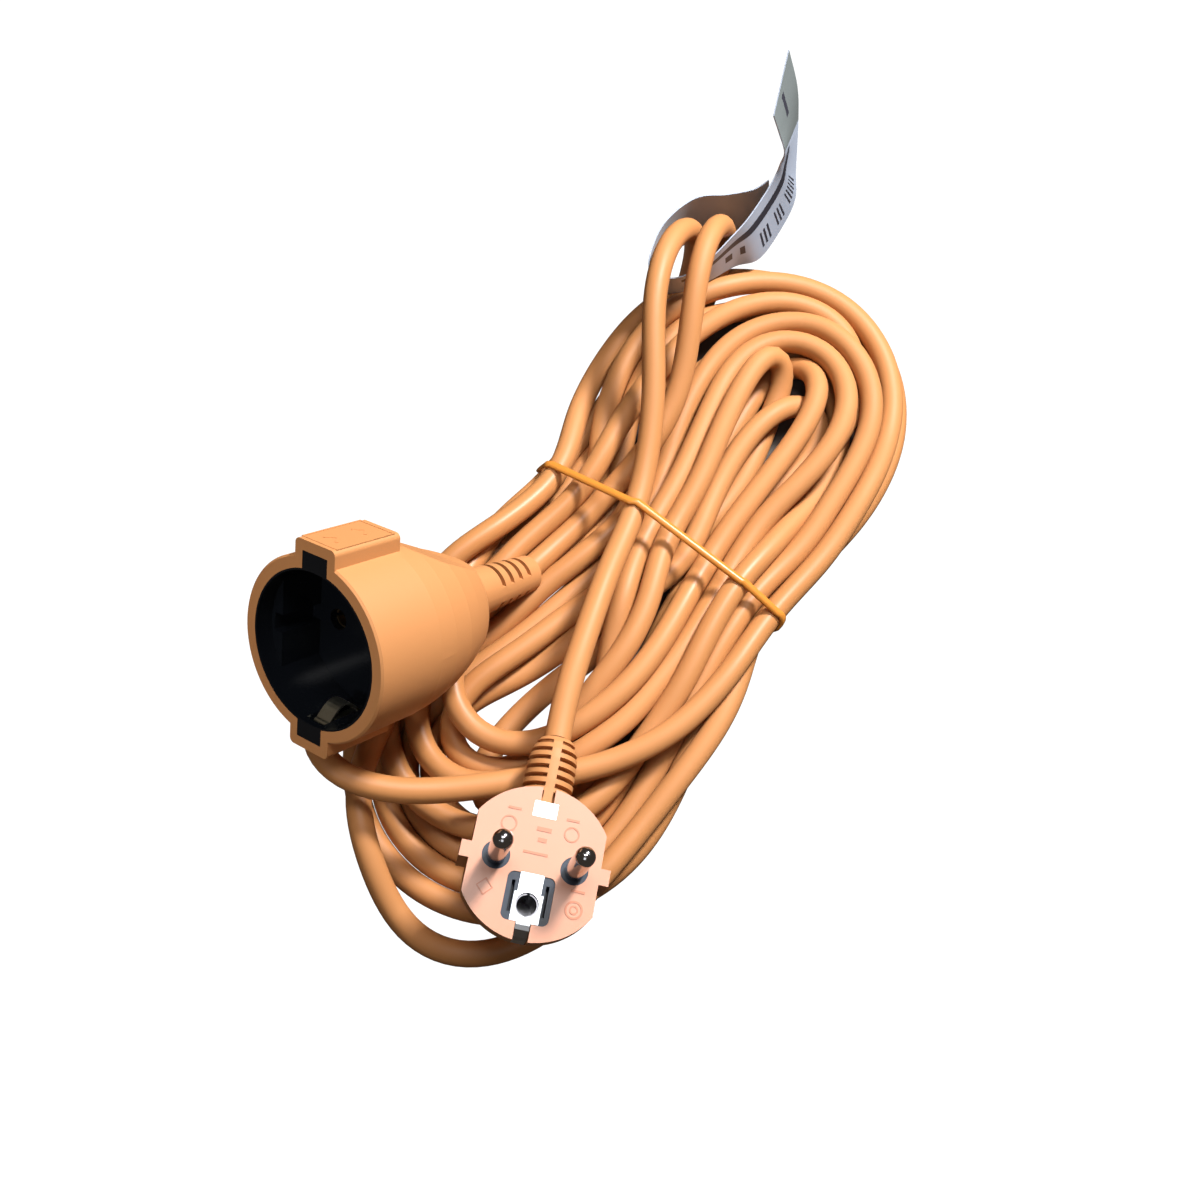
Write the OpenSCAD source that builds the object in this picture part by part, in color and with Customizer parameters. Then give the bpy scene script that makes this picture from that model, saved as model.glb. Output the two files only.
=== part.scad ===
// Mains extension cord: an angled earthed plug, a trailing coupler socket, and 5 m of round
// three-core cord wound in a long hank, tied with a rubber band and a paper label.
// The origin is on the surface that the hank lies on, under its middle. +Y runs along the hank
// towards the label, and +Z is up.

/* [Cord] */
// Diameter over the cord's sheath
cord_d = 6.8; // [6.4:0.1:6.8]
// Diameter of one insulated core
core_d = 2.5; // [2.1:0.1:2.5]
// Height of the wound hank
hank_h = 17; // [15:0.5:17]

/* [Coupler] */
// Radius of the round well that takes the plug
well_r = 19.7; // [19.5:0.1:19.8]
// Depth of the well
well_depth = 17.5; // [17:0.5:18]
// Outer radius of the coupler at its mouth
coupler_r = 23.5; // [23:0.1:24.5]
// Length from the mouth to the end of the strain relief
coupler_len = 81; // [80:1:84]

/* [Plug] */
// Radius of the plug's face
plug_r = 18.5; // [18.3:0.1:18.8]
// Width of the plug between its two flats
plug_flat_w = 31.4; // [31:0.1:31.8]
// Depth of the plug behind its face
plug_depth = 25; // [24:0.5:25]

/* [Pins] */
// Distance between the two live pins
pin_pitch = 19; // [18.9:0.1:19.1]
// Radius of a live pin
pin_r = 2.4; // [2.35:0.01:2.43]
// Length of a live pin in front of the face
pin_len = 19; // [18.5:0.5:19.5]

/* [Hidden] */
$fn = 64;
eps = 0.01;

orange = "#f0a368";
black = "#15171b";
nickel = "#c9ccd0";
brass = "#b9985a";
slate = "#2b323c";

// Where the coupler's mouth centre and the plug's face centre are, and how they are turned:
// roll about the local Z, then lean from the vertical, then heading about the row's Z.
coupler_place = [-36.6, -79.9, 62];
coupler_turn = [117.5, 51.3, -101.9];
plug_place = [33.9, -85.3, 44];
plug_turn = [-15.3, 9.7, 42];

module placed(place, turn) translate(place) rotate([0, turn[1], turn[2]]) rotate([0, 0, turn[0]]) children();
module at_coupler() placed(coupler_place, coupler_turn) children();
module at_plug() placed(plug_place, plug_turn) children();

function spin_z(p, a) = [p[0] * cos(a) - p[1] * sin(a), p[0] * sin(a) + p[1] * cos(a), p[2]];
function spin_y(p, a) = [p[0] * cos(a) + p[2] * sin(a), p[1], p[2] * cos(a) - p[0] * sin(a)];
function moved(p, place, turn) = place + spin_z(spin_y(spin_z(p, turn[0]), turn[1]), turn[2]);
function all_moved(route, place, turn) = [for (p = route) moved(p, place, turn)];

// ---------------------------------------------------------------- shapes that repeat

// A block between two corners.
module block(low, high) translate(low) cube(high - low);

// A flat rectangle with round corners, centred.
module rounded(w, h, r) {
    square([w - 2 * r, h], center = true);
    square([w, h - 2 * r], center = true);
    for (x = [-1, 1], y = [-1, 1]) translate([x * (w / 2 - r), y * (h / 2 - r)]) circle(r, $fn = 32);
}

// A tube of radius r along a route, one ring at each point, with the ring turned as little as
// possible from one point to the next.
function unit(v) = v / norm(v);
function heading_at(route, i) =
    unit(route[min(i + 1, len(route) - 1)] - route[max(i - 1, 0)]);
function sides(route, i = 0, last = [0.3, 0.2, 1]) = let (
    t = heading_at(route, i),
    s = unit(last - (last * t) * t)
) i == len(route) - 1 ? [s] : concat([s], sides(route, i + 1, s));
module tube(route, r, n = 10) {
    side = sides(route);
    points = [for (i = [0 : len(route) - 1]) let (t = heading_at(route, i), u = cross(t, side[i]))
        for (k = [0 : n - 1]) route[i] + r * (cos(360 * k / n) * side[i] + sin(360 * k / n) * u)];
    walls = [for (i = [0 : len(route) - 2], k = [0 : n - 1]) let (m = (k + 1) % n)
        each [[i * n + k, (i + 1) * n + k, (i + 1) * n + m], [i * n + k, (i + 1) * n + m, i * n + m]]];
    first = [[for (k = [0 : n - 1]) k]];
    last = [[for (k = [n - 1 : -1 : 0]) (len(route) - 1) * n + k]];
    polyhedron(points, concat(walls, first, last), convexity = 6);
}

// The outline of a strip of thickness t whose middle follows flat points.
function flat_normal(p, i) = let (d = p[min(i + 1, len(p) - 1)] - p[max(i - 1, 0)]) [-d[1], d[0]] / norm(d);
function stroke(p, t) = concat(
    [for (i = [0 : len(p) - 1]) p[i] + flat_normal(p, i) * t / 2],
    [for (i = [len(p) - 1 : -1 : 0]) p[i] - flat_normal(p, i) * t / 2]);

// A flat outline drawn in local Y and Z, with a width along local X.
module across_x(w) rotate([90, 0, 90]) linear_extrude(w, center = true) children();

// ---------------------------------------------------------------- coupler, local Z = 0 at its mouth

lug_w = 13.2;
lug_top = 27;
lug_len = 21;
block_w = 8.3;
block_top = 24.3;
rim_wall = 0.5;
floor_t = 2;
insert_back = -well_depth - floor_t;
cover_back = -44.5;
shell_back = -54;
sheath_start = -47.2;
pin_x = pin_pitch / 2;
hole_r = 2.75;
tower_r = 4.3;
tower_bore_r = 3.1;
tower_back = -31.5;
spring_y = 21.9;
spring_t = 0.6;
spring_root = -17.3;
relief_root_r = 7.2;
relief_tip_r = 5.2;

module insert_outline(slack = 0) {
    circle(well_r + rim_wall - 0.05 + slack, $fn = 128);
    square([block_w - 0.1 + 2 * slack, 2 * (block_top - 0.05 + slack)], center = true);
}

// Round the rear cover narrows behind the insert.
module cover_profile(grow = 0) polygon([[0, insert_back - 0.1], [19.2 + grow, insert_back - 0.1],
    [19.2 + grow, -24], [10.4 + grow, -43], [10.4 + grow, cover_back - grow], [0, cover_back - grow]]);

module coupler_body() color(orange) at_coupler() difference() {
    union() {
        intersection() {
            rotate_extrude($fn = 128) polygon([[0, 0], [coupler_r - 0.5, 0], [coupler_r, -0.5], [coupler_r, -20],
                [22.9, -26], [21.4, -33], [19.2, -39], [17.4, -43], [16.2, -45.5], [14.6, -47.4], [11, -50.6],
                [8.4, -53], [7.6, shell_back], [0, shell_back]]);
            across_x(60) polygon([[-30, 1], [-30, -18], [-24, -21], [-18.4, -32], [-12.6, -46], [-11, shell_back - 1],
                [11, shell_back - 1], [12.6, -46], [18.4, -32], [24, -21], [30, -18], [30, 1]]);
        }
        translate([0, 0, -lug_len]) linear_extrude(lug_len) rounded(lug_w, 2 * lug_top, 1.4);
    }
    translate([0, 0, insert_back - 0.1]) linear_extrude(30) insert_outline(0.05);
    translate([0, 0, -lug_len + 0.1]) linear_extrude(lug_len) square([6.6, 2 * 23], center = true);
    rotate_extrude($fn = 128) cover_profile(0.1);
    translate([0, 0, -47.1]) cylinder(r = cord_d / 2 + 0.6, h = 5);
    translate([0, 0, -50.6]) cylinder(r = 9.1, h = 3.6);
    translate([0, 0, shell_back - 1]) cylinder(r = relief_root_r + 0.05, h = 5);
}

module coupler_insert() color(black) at_coupler() {
    difference() {
        union() {
            translate([0, 0, insert_back]) linear_extrude(-insert_back) insert_outline();
            for (x = [-pin_x, pin_x]) translate([x, 0, tower_back]) cylinder(r = tower_r, h = insert_back - tower_back + 1);
        }
        difference() {
            translate([0, 0, -well_depth]) cylinder(r = well_r, h = well_depth + 1, $fn = 128);
            for (s = [-1, 1]) difference() {
                block([s > 0 ? 15.9 : -21, -13, -well_depth - 1], [s > 0 ? 21 : -15.9, 13, -5]);
                block([s > 0 ? 15 : -18.7, -2.3, -well_depth - 2], [s > 0 ? 18.7 : -15, 2.3, 0]);
            }
        }
        for (s = [-1, 1]) {
            block([-3, s > 0 ? 16 : -23.5, -well_depth], [3, s > 0 ? 23.5 : -16, -2]);
            block([-2.5, s > 0 ? spring_y - 0.5 : -spring_y - 0.5, insert_back - 1],
                [2.5, s > 0 ? spring_y + 0.5 : -spring_y + 0.5, -well_depth + 1]);
        }
        for (x = [-pin_x, pin_x]) translate([x, 0, 0]) {
            translate([0, 0, insert_back - 1]) cylinder(r = hole_r, h = 4);
            translate([0, 0, tower_back - 1]) cylinder(r = tower_bore_r, h = insert_back - tower_back + 1);
        }
    }
}

module coupler_rear_cover() color(black) at_coupler() difference() {
    rotate_extrude($fn = 128) cover_profile();
    rotate_extrude($fn = 128) polygon([[0, 0], [17.9, 0], [17.9, -24.4], [9.1, -43.3], [0, -43.3]]);
    translate([0, 0, cover_back - 1]) cylinder(r = 3.6, h = 3);
    block([-3.2, -25, -20.8], [3.2, 25, -15]);
}

module coupler_contact(s) color(brass) at_coupler() translate([s * pin_x, 0, 0]) difference() {
    union() {
        translate([0, 0, -32]) cylinder(r = tower_bore_r - 0.1, h = 12.4);
        translate([0, 0, -36]) cylinder(r = 1.8, h = 4.5, $fn = 48);
    }
    translate([0, 0, -30.5]) cylinder(r = pin_r, h = 12);
    translate([0, 0, -36.5]) cylinder(r = core_d / 2 + 0.05, h = 3.5, $fn = 48);
    block([-5, -0.4, -28], [5, 0.4, -18]);
}
module coupler_contact_left() coupler_contact(-1);
module coupler_contact_right() coupler_contact(1);

module coupler_earth_bridge() color(nickel) at_coupler() difference() {
    union() {
        block([-2.9, -22.2, insert_back - 1], [2.9, 22.2, insert_back - 0.15]);
        for (s = [-1, 1]) block([-2.3, s * spring_y - spring_t / 2, insert_back - 0.5],
            [2.3, s * spring_y + spring_t / 2, spring_root - 0.35]);
        translate([0, 0, -27]) cylinder(r = 1.9, h = 7, $fn = 48);
    }
    translate([0, 0, -27.5]) cylinder(r = core_d / 2 + 0.05, h = 5.5, $fn = 48);
}

// One earth spring: up from its root by the wall, over at the mouth, and back down in a bow that
// presses on the plug's side contact.
spring_path = concat(
    [[spring_y, spring_root], [spring_y, -12], [spring_y, -4.6]],
    [for (a = [30 : 30 : 150]) [spring_y - 0.8 + 0.8 * cos(a), -4.6 + 0.8 * sin(a)]],
    [for (k = [0 : 12]) [20.3 - 3.6 * sin(15 * k), -4.8 - k * 10 / 12]]);
module coupler_earth_spring(s) color(nickel) at_coupler() mirror([0, s > 0 ? 0 : 1, 0])
    across_x(4.6) polygon(stroke(spring_path, spring_t));
module coupler_earth_spring_upper() coupler_earth_spring(1);
module coupler_earth_spring_lower() coupler_earth_spring(-1);

// A ribbed sleeve's groove: a ring cut left whole where the two spines run.
module groove_ring(inner_r, w, spine_w) difference() {
    cylinder(r = 12, h = w);
    translate([0, 0, -1]) cylinder(r = inner_r, h = w + 2);
    block([-13, -spine_w / 2, -1], [13, spine_w / 2, w + 1]);
}

module coupler_strain_relief() color(orange) at_coupler() difference() {
    union() {
        translate([0, 0, -coupler_len]) cylinder(r1 = relief_tip_r, r2 = relief_root_r, h = coupler_len + shell_back);
        translate([0, 0, shell_back]) cylinder(r = relief_root_r, h = 4);
        translate([0, 0, -50.5]) cylinder(r = 9, h = 3.3);
    }
    translate([0, 0, -coupler_len - 1]) cylinder(r = cord_d / 2 + 0.03, h = 40);
    for (k = [0 : 3]) translate([0, 0, -64.3 - 4 * k]) groove_ring(4.3, 1.5, 4.4);
}

// The three cores spread from the end of the sheath, whose axis is local Z, to the crimps.
module coupler_core(route, tint) color(tint) at_coupler() tube(route, core_d / 2, 8);
core_off = 1.55;
module coupler_core_live() coupler_core([[pin_x, 0, -33.1], [pin_x, 0, -37], [6, 0.4, -39.8],
    [2.6, 0.8, -42.4], [core_off, 0.9, -44.5], [core_off, 0.9, sheath_start + eps]], "saddlebrown");
module coupler_core_neutral() coupler_core([[-pin_x, 0, -33.1], [-pin_x, 0, -37], [-6, 0.4, -39.8],
    [-2.6, 0.8, -42.4], [-core_off, 0.9, -44.5], [-core_off, 0.9, sheath_start + eps]], "steelblue");
module coupler_core_earth() coupler_core([[0, 0, -22.2], [0, 0, -34], [0, -1, -39], [0, -1.8, -43],
    [0, -1.8, sheath_start + eps]], "yellowgreen");

// ---------------------------------------------------------------- plug, local Z = 0 at its face, +Y to the cord

lead_z = -8;
carrier_front = -1.3;
carrier_back = -9;
collar_r = 3.35;
pin_root_r = 2;
frame_w = 11.4;
frame_y = -8.5;
earth_y = -10;
sleeve_r = 2.8;
strip_w = 5.6;
strip_wide = 6.9;
plug_relief_r = 6.2;
relief_face_y = 18.2;
plug_relief_end = 33;
plug_sheath_start = 14.2;

module carrier_outline(slack = 0) intersection() {
    circle(15.4 + slack, $fn = 128);
    block2([-13.2 - slack, -14.4 - slack], [13.2 + slack, 9.8 + slack]);
}
module block2(low, high) translate(low) square(high - low);
module cover_shape(r_front, r_back, back, front, slack = 0) {
    intersection() {
        translate([0, 0, back]) cylinder(r1 = r_back, r2 = r_front, h = front - back, $fn = 96);
        block([-12.6 - slack, -12.4 - slack, back - 1], [12.6 + slack, 9.6 + slack, front + 1]);
    }
    translate([0, earth_y, -14.9 - slack]) cylinder(r = 4.1 + slack, h = 14.9 + slack + front);
}

module plug_body() color(orange) at_plug() difference() {
    union() {
        intersection() {
            rotate_extrude($fn = 128) polygon([[0, 0], [plug_r, 0], [plug_r, -5], [17.8, -8.6], [16.9, -12],
                [15.5, -16], [13.4, -20], [11.6, -22.4], [9.2, -24.3], [7.5, -plug_depth], [0, -plug_depth]]);
            block([-plug_flat_w / 2, -20, -30], [plug_flat_w / 2, 20, 1]);
        }
        for (s = [-1, 1]) block([s > 0 ? 13 : -18.1, -1.95, -12.5], [s > 0 ? 18.1 : -13, 1.95, 0]);
        translate([0, 9, lead_z]) rotate([-90, 0, 0]) rotate([0, 0, 45]) cylinder(r = 7, h = relief_face_y - 9);
    }
    // the carrier, its collars and its frame
    translate([0, 0, carrier_back - 0.1]) linear_extrude(carrier_front - carrier_back + 0.15) carrier_outline(0.05);
    for (x = [-pin_x, pin_x]) translate([x, 0, -3]) cylinder(r = collar_r + 0.03, h = 4);
    translate([0, frame_y, -3]) linear_extrude(4) rounded(frame_w + 0.06, frame_w + 0.06, 1.6);
    cover_shape(14.45, 11.8, -19, carrier_back + 0.3, 0.05);
    // the way in for the sheath and its cores
    block([-4.6, 8, -17.8], [4.6, 13.4, -5]);
    translate([0, 9, lead_z]) rotate([-90, 0, 0]) cylinder(r = cord_d / 2 + 0.3, h = 12);
    translate([0, 13.9, lead_z]) rotate([-90, 0, 0]) cylinder(r = 6.3, h = 2.7);
    translate([0, 13.9, lead_z]) rotate([-90, 0, 0]) cylinder(r = 4.75, h = 10);
    // notches and pockets for the earth strip
    block([-1.85, -20, -8.6], [1.85, -14.2, 1]);
    block([-1.6, 14.85, -3.9], [1.6, 20, 1]);
    block([-2.95, 11.05, -0.85], [2.95, 14.95, 1]);
    block([-1.6, 9, -2.2], [1.6, 12, -0.5]);
    block([-strip_w / 2 - 0.05, -4, -0.85], [strip_w / 2 + 0.05, -2.55, 1]);
}

module plug_pin_carrier() color(slate) at_plug() difference() {
    union() {
        translate([0, 0, carrier_back]) linear_extrude(carrier_front - carrier_back) carrier_outline();
        for (x = [-pin_x, pin_x]) translate([x, 0, carrier_back]) cylinder(r = collar_r, h = -carrier_back - 0.15);
        translate([0, frame_y, carrier_back]) linear_extrude(-carrier_back - 0.3) rounded(frame_w, frame_w, 1.6);
        translate([0, earth_y, -13.8]) cylinder(r = 3.25, h = 6);
    }
    for (x = [-pin_x, pin_x]) translate([x, 0, -12]) cylinder(r = pin_root_r + 0.02, h = 14);
    translate([0, earth_y, -14.5]) cylinder(r = sleeve_r + 0.05, h = 16);
    block([-1.6, -4, -1.95], [1.6, 11, 1]);
    block([-strip_w / 2 - 0.05, -9, -0.85], [strip_w / 2 + 0.05, -2.55, 1]);
    block([-strip_wide / 2 - 0.05, -15, -0.85], [strip_wide / 2 + 0.05, -7.25, 1]);
    for (s = [-1, 1]) block([s * 4.1 - 0.4, -12.2, -4], [s * 4.1 + 0.4, -4.8, 1]);
}

module plug_crimp_cover() color(black) at_plug() difference() {
    cover_shape(14.3, 11.65, -18.9, carrier_back - 0.05);
    translate([0, earth_y, -14]) cylinder(r = 3.35, h = 6);
    intersection() {
        translate([0, 0, -17.7]) cylinder(r1 = 10.8, r2 = 13.1, h = 10);
        block([-11.4, -11.2, -20], [11.4, 8.4, 0]);
    }
    block([-4.6, 5, -17.7], [4.6, 12, -5]);
}

module plug_pin(s) color(nickel) at_plug() translate([s * pin_x, 0, 0]) difference() {
    union() {
        translate([0, 0, carrier_back]) cylinder(r = pin_root_r, h = 1 - carrier_back);
        cylinder(r = pin_r, h = pin_len - pin_r);
        translate([0, 0, pin_len - pin_r]) sphere(pin_r);
        translate([0, 0, -13.5]) cylinder(r = 1.85, h = 5);
    }
    translate([0, 0, -14]) cylinder(r = core_d / 2 + 0.05, h = 3.5, $fn = 48);
}
module plug_pin_left() plug_pin(-1);
module plug_pin_right() plug_pin(1);

// The earth strip: a plate on the face at the cord's side, a link under the face, and a plate over
// the frame that turns down into the notch as the side contact.
module plug_earth_strip() color(nickel) at_plug() difference() {
    union() {
        block([-2.9, 11.1, -0.8], [2.9, 14.9, -0.05]);
        block([-1.5, 11.1, -1.9], [1.5, 11.8, -0.5]);
        block([-1.5, -3.3, -1.9], [1.5, 11.8, -1.4]);
        block([-1.5, -3.3, -1.9], [1.5, -2.7, -0.5]);
        block([-strip_w / 2, -9, -0.8], [strip_w / 2, -2.6, -0.1]);
        block([-strip_wide / 2, -14.1, -0.8], [strip_wide / 2, -7.3, -0.1]);
        across_x(3.4) polygon(stroke([[-13.6, -0.45], [-14.6, -0.5], [-15.6, -0.9], [-17, -2.4], [-17.5, -3.6],
            [-17.5, -8.3]], 0.6));
    }
    translate([0, earth_y, -3]) cylinder(r = sleeve_r + 0.05, h = 4);
}

// The split sleeve that grips the earth pin of an outlet that has one.
module plug_earth_sleeve() color(nickel) at_plug() translate([0, earth_y, 0]) difference() {
    union() {
        translate([0, 0, -13.5]) cylinder(r = sleeve_r, h = 12.6);
        translate([0, 0.9, -15.1]) cylinder(r = 1.85, h = 2, $fn = 48);
    }
    translate([0, 0, -12.6]) cylinder(r = 2.4, h = 13);
    translate([0, 0.9, -15.6]) cylinder(r = core_d / 2 + 0.05, h = 2.6, $fn = 48);
    block([-0.35, -4, -10], [0.35, 4, 0]);
}

module plug_strain_relief() color(orange) at_plug() difference() {
    union() {
        translate([0, relief_face_y, lead_z]) rotate([-90, 0, 0]) rotate_extrude() polygon([[0, 0.01], [plug_relief_r, 0.01],
            [plug_relief_r + 0.1, 3], [plug_relief_r, 8.8], [5.8, 11.3], [5.1, 13.3], [4.3, 14.5],
            [4.0, plug_relief_end - relief_face_y], [0, plug_relief_end - relief_face_y]]);
        translate([0, 14, lead_z]) rotate([-90, 0, 0]) cylinder(r = 6.2, h = 2.5);
        translate([0, 14, lead_z]) rotate([-90, 0, 0]) cylinder(r = 4.7, h = 5);
        block([-1.15, 15.2, -4], [1.15, 19, lead_z + plug_relief_r]);
    }
    translate([0, 13, lead_z]) rotate([-90, 0, 0]) cylinder(r = cord_d / 2 + 0.03, h = 30);
    for (k = [0 : 5]) translate([0, 19.3 + 2.3 * k, lead_z]) rotate([-90, 0, 0]) rotate([0, 0, 90])
        groove_ring(4.1, 1.1, 2.3);
}

module plug_core(route, tint) color(tint) at_plug() tube(route, core_d / 2, 8);
module plug_core_live() plug_core([[pin_x, 0, -10.6], [pin_x, 0.3, -14.4], [8, 2.6, -16], [5, 6, -15],
    [2.6, 9.6, -11], [core_off, 12, -8], [core_off, 13.2, -7.2], [core_off, plug_sheath_start - 0.05, -7.2]], "saddlebrown");
module plug_core_neutral() plug_core([[-pin_x, 0, -10.6], [-pin_x, 0.3, -14.4], [-8, 2.6, -16], [-5, 6, -15],
    [-2.6, 9.6, -11], [-core_off, 12, -8], [-core_off, 13.2, -7.2], [-core_off, plug_sheath_start - 0.05, -7.2]],
    "steelblue");
module plug_core_earth() plug_core([[0, earth_y + 0.9, -13.1], [0, earth_y + 0.9, -15.2], [0, -8.2, -16.1],
    [0, -6, -16.4], [0, 2, -16.4], [0, 6.5, -15.4], [0, 10.6, -11.6], [0, 13, -9.9],
    [0, plug_sheath_start - 0.05, -9.9]], "yellowgreen");

// ---------------------------------------------------------------- cord, band and label

// From the plug's relief over the hank, under the band, to the loop that holds the label.
plug_lead_route = concat(all_moved([[0, plug_sheath_start, lead_z], [0, plug_relief_end, lead_z]],
    plug_place, plug_turn), [[12, -46, 34], [6, -30, 31], [-3, -6, 25], [-8.5, 14, 20.6], [-16.5, 31, 25],
    [-25.5, 45, 31], [-34.5, 56, 36], [-41, 65, 40], [-45.5, 75, 42], [-48, 84.5, 40], [-49, 94, 33.5],
    [-48.8, 99.5, 24.5], [-48.4, 100, 15], [-47, 95, 7], [-44, 87, 3.8], [-42, 78, 3.7]]);

// From the coupler's relief, low along the left strands, up under the plug's lead to its own loop.
coupler_lead_route = concat(all_moved([[0, 0, sheath_start], [0, 0, -coupler_len]], coupler_place, coupler_turn),
    [[-22.2, -12, 8], [-22.4, -3, 6.4], [-21.4, 8, 7.4], [-19.6, 18, 10.5], [-17.8, 29, 15.5], [-17.6, 39, 18.5],
    [-19.5, 50, 22.5], [-24.6, 60.5, 29], [-30.8, 71, 36], [-36, 81, 40.5], [-39.4, 90, 41], [-41.4, 99, 36],
    [-41.9, 105.5, 27], [-41.8, 107.4, 17], [-41, 103.5, 8.5], [-39.6, 96, 4.2], [-38, 87, 3.7]]);

// The turn that rises in front of the coupler's mouth and crosses under the plug's relief.
raised_route = [[-39, -58, 12], [-42, -70, 17.5], [-41, -83, 25], [-36, -93, 32], [-28, -98.5, 35], [-19.5, -98.5, 35.5],
    [-11.5, -95, 33.5], [-3.5, -89, 31.5], [4, -81.5, 30], [10, -72.5, 27.5], [14.5, -63, 24.5], [20, -52, 21.5],
    [26, -41, 18.5], [31, -28, 13]];

// The slack turn that lies on the floor beyond the hank's end and passes under the plug.
loose_route = [[-25, -82, 14], [-22, -92, 20], [-16, -100, 23], [-8, -106, 21.5], [2, -112.5, 14], [13, -117, 6.5],
    [25, -115, 3.8], [34.5, -106.5, 3.7], [40, -96, 3.7], [42.5, -84, 3.8]];

band_y = 13;
band_w = 2;
band_t = 1;

// The band's inside where it is wrapped round the hank and the plug's lead, in X and Z.
module band_section(grow) hull() for (p = [[-37.2, 4.2, 3.2], [34.2, 4.2, 3.2], [-37.2, 12.8, 3.2],
    [34.2, 12.8, 3.2], [-8.6, 20.6, 3.6]]) translate([p[0], p[1]]) circle(p[2] + grow, $fn = 32);
module band_slice(grow, w) translate([0, band_y + w / 2, 0]) rotate([90, 0, 0]) linear_extrude(w) band_section(grow);

module hank_outline() difference() {
    union() {
        translate([-3, 70]) circle(49, $fn = 96);
        translate([2, -62]) circle(48, $fn = 96);
        polygon([[-49, 54], [-41, 13], [-43, -45], [47, -45], [38, 13], [43, 54]]);
    }
    // the corner where the two leads come down inside the label
    polygon([[-34, 125], [-31.5, 110], [-34.5, 98], [-36.4, 87], [-40, 78], [-51, 74.5], [-62, 78], [-62, 125]]);
}

module cord_hank() color(orange) difference() {
    linear_extrude(hank_h) hank_outline();
    at_coupler() translate([0, 0, -coupler_len - 3]) cylinder(r1 = 6.2, r2 = 8.6, h = 30);
    tube(coupler_lead_route, cord_d / 2 + 0.35, 12);
    difference() {
        block([-60, band_y - band_w / 2 - 0.1, -1], [60, band_y + band_w / 2 + 0.1, hank_h + 1]);
        band_slice(-0.05, band_w + 4);
    }
}
module cord_plug_lead() color(orange) tube(plug_lead_route, cord_d / 2);
module cord_coupler_lead() color(orange) tube(coupler_lead_route, cord_d / 2);
module cord_raised_turn() color(orange) tube(raised_route, cord_d / 2);
module cord_loose_turn() color(orange) tube(loose_route, cord_d / 2);

module rubber_band() color("darkorange") difference() {
    band_slice(band_t, band_w);
    band_slice(0, band_w + 2);
}

// The label's strip: its lower and upper edge at each station, from the glued tail's end along the
// side that faces out, round the leads, and back to the tail.
label_t = 0.4;
label_low = [[-53.3, 149.3, 54], [-47.8, 148, 44], [-44.4, 146, 34], [-38.4, 138.7, 22], [-34.5, 134, 15],
    [-32.8, 123.7, 10], [-32.4, 111.6, 7.6], [-35.6, 101, 7.5], [-37.6, 89, 7.5], [-42, 80.2, 7.5],
    [-49.4, 77.6, 7.5], [-54, 83, 7.5], [-56.6, 94, 7.8], [-54, 105.8, 8], [-46.7, 112.4, 8.5],
    [-41, 118, 9.5], [-36.4, 123.2, 11]];
label_high = [[-44.5, 129.2, 50], [-41, 128, 46], [-37.5, 126.5, 42], [-37.6, 125.4, 38], [-37.8, 124, 34],
    [-37.6, 119, 31], [-37.2, 109.6, 29], [-37.6, 102, 28], [-39, 88.7, 27], [-43, 80, 26.5],
    [-50, 77.4, 26.5], [-54.4, 82.7, 26.5], [-57, 93.8, 28], [-54.4, 105.8, 29], [-46.7, 112.4, 30],
    [-41.2, 118, 31], [-38.8, 122, 33]];
module paper_label() color("ghostwhite") {
    last = len(label_low) - 1;
    middle = (label_low + label_high) / 2;
    face = [for (i = [0 : last]) unit(cross(middle[min(i + 1, last)] - middle[max(i - 1, 0)], label_high[i] - label_low[i]))];
    points = [for (i = [0 : last]) each [label_low[i] - face[i] * label_t / 2, label_low[i] + face[i] * label_t / 2,
        label_high[i] + face[i] * label_t / 2, label_high[i] - face[i] * label_t / 2]];
    polyhedron(points, concat(
        [for (i = [0 : last - 1], k = [0 : 3]) let (m = (k + 1) % 4)
            each [[4 * i + k, 4 * i + 4 + k, 4 * i + 4 + m], [4 * i + k, 4 * i + 4 + m, 4 * i + m]]],
        [[0, 1, 2, 3]], [[for (k = [3 : -1 : 0]) 4 * last + k]]));
}

coupler_body();
coupler_insert();
coupler_rear_cover();
coupler_contact_left();
coupler_contact_right();
coupler_earth_bridge();
coupler_earth_spring_upper();
coupler_earth_spring_lower();
coupler_strain_relief();
coupler_core_live();
coupler_core_neutral();
coupler_core_earth();
plug_body();
plug_pin_carrier();
plug_crimp_cover();
plug_pin_left();
plug_pin_right();
plug_earth_strip();
plug_earth_sleeve();
plug_strain_relief();
plug_core_live();
plug_core_neutral();
plug_core_earth();
cord_hank();
cord_plug_lead();
cord_coupler_lead();
cord_raised_turn();
cord_loose_turn();
rubber_band();
paper_label();
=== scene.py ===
import math

import bpy
import numpy as np
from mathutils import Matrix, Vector


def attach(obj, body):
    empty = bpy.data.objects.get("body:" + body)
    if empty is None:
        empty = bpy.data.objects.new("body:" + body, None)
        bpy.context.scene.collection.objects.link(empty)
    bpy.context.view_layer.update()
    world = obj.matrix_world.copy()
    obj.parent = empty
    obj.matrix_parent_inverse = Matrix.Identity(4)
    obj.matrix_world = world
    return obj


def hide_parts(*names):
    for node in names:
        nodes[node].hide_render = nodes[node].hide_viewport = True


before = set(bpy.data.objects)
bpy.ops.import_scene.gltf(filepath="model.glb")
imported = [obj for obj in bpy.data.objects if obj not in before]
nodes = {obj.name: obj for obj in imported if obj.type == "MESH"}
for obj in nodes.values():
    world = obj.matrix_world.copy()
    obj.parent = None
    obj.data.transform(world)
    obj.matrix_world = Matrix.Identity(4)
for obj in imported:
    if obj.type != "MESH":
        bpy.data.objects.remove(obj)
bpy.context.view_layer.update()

# ---------------------------------------------------------------- camera

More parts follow.
